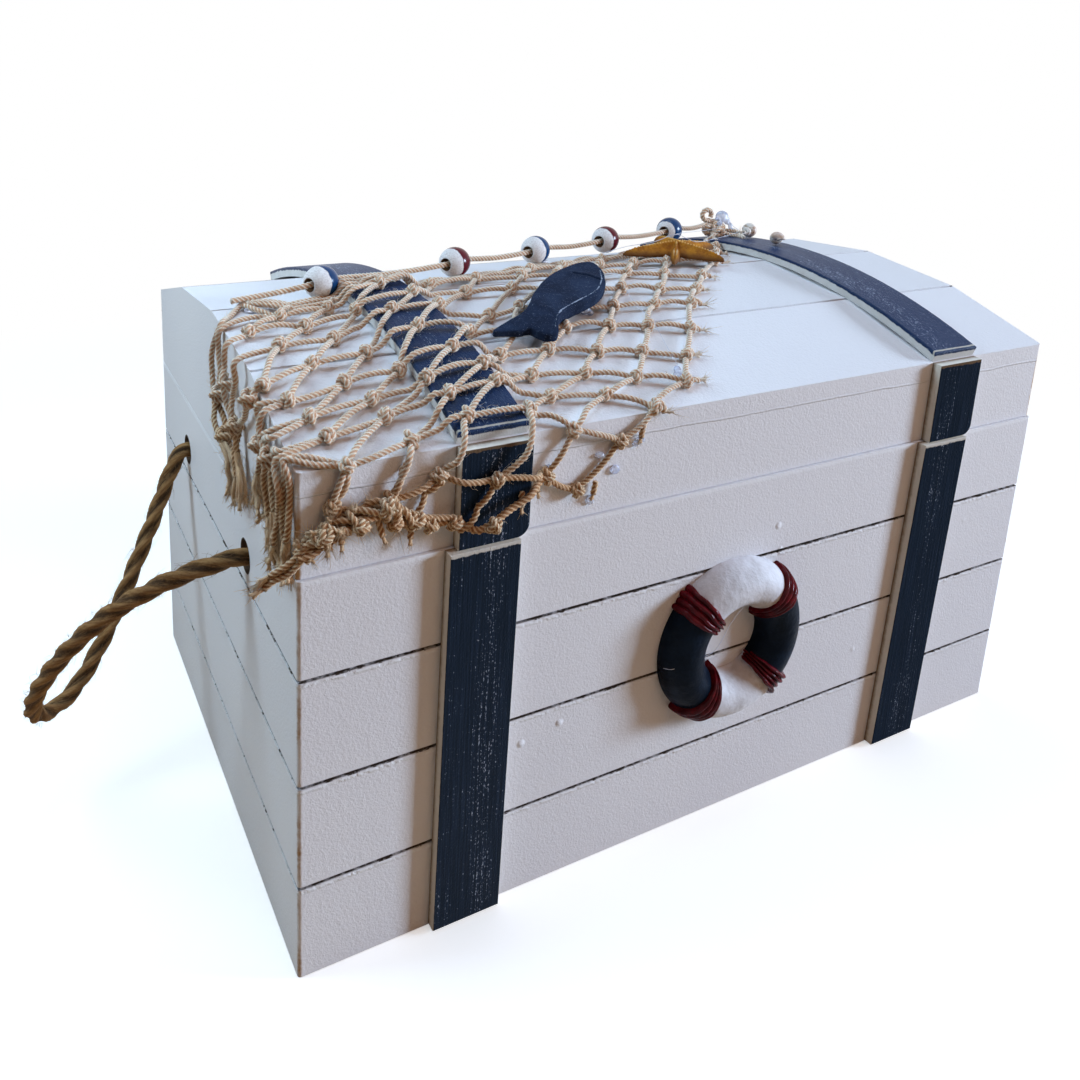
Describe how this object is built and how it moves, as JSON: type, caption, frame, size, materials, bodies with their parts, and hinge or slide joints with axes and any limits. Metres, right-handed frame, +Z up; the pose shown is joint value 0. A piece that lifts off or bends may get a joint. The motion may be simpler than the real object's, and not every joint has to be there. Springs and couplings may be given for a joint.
{
  "type": "keepsake chest",
  "caption": "Domed, boarded keepsake chest with a hinged lid, rope handles, straps and seaside ornaments.",
  "frame": {"origin": "middle of the box's underside, where it stands", "axes": "+X along the length to the right seen from the front, -Y out of the front, +Z up"},
  "size_m": [0.4258, 0.2, 0.1868],
  "materials": {
    "white_paint": "matt white paint over board",
    "navy_paint": "dry-brushed navy paint over board",
    "hinge_brass": "plated butt hinge",
    "screw_steel": "plain screws",
    "jute_rope": "laid jute rope",
    "ring_paint": "glossy painted cast resin",
    "ring_band_paint": "glossy red bands",
    "cotton_cord": "unbleached cotton cord",
    "bead_blue": "white bead with a blue end",
    "bead_red": "white bead with a red end",
    "shell": "small natural shells",
    "fish_paint": "matt navy paint, worn at the edge",
    "starfish_ochre": "dried starfish, ochre",
    "raw_board": "plain fibre board"
  },
  "bodies": {
    "box": {"base_back": "white_paint", "base_floor": "raw_board", "base_front": "white_paint", "base_left": "white_paint", "base_right": "white_paint", "base_strap_left": "navy_paint", "base_strap_right": "navy_paint", "hinge_left_base_leaf": "hinge_brass", "hinge_left_pin": "hinge_brass", "hinge_right_base_leaf": "hinge_brass", "hinge_right_pin": "hinge_brass", "hinge_screws_base": "screw_steel", "life_ring": "ring_paint", "life_ring_bands": "ring_band_paint", "rope_left_tails": "jute_rope", "rope_right_tails": "jute_rope"},
    "lid": {"bead_1": "bead_blue", "bead_2": "bead_red", "bead_3": "bead_blue", "bead_4": "bead_red", "bead_5": "bead_blue", "bead_cord": "cotton_cord", "crown_strap_left": "navy_paint", "crown_strap_right": "navy_paint", "fishing_net": "cotton_cord", "hinge_left_lid_leaf": "hinge_brass", "hinge_right_lid_leaf": "hinge_brass", "hinge_screws_lid": "screw_steel", "lid_back_rim": "white_paint", "lid_front_rim": "white_paint", "lid_left_end": "white_paint", "lid_right_end": "white_paint", "lid_slat_1": "white_paint", "lid_slat_2": "white_paint", "lid_slat_3": "white_paint", "lid_slat_4": "white_paint", "rim_strap_left": "navy_paint", "rim_strap_right": "navy_paint", "shells": "shell", "starfish": "starfish_ochre", "tie_knot": "cotton_cord", "wooden_fish": "fish_paint"},
    "left_handle": {"rope_left": "jute_rope"},
    "right_handle": {"rope_right": "jute_rope"}
  },
  "joints": [
    {"name": "lid_hinge", "type": "hinge", "parent": "box", "child": "lid", "pos_m": [0, 0.0946, 0.12785], "axis": [-1, 0, 0], "range_deg": [0, 175]},
    {"name": "left_handle_swing", "type": "hinge", "parent": "box", "child": "left_handle", "pos_m": [-0.1535, 0.0035, 0.1076], "axis": [0, 1, 0], "range_deg": [0, 90]},
    {"name": "right_handle_swing", "type": "hinge", "parent": "box", "child": "right_handle", "pos_m": [0.1535, 0.0035, 0.1076], "axis": [0, -1, 0], "range_deg": [0, 90]}
  ]
}
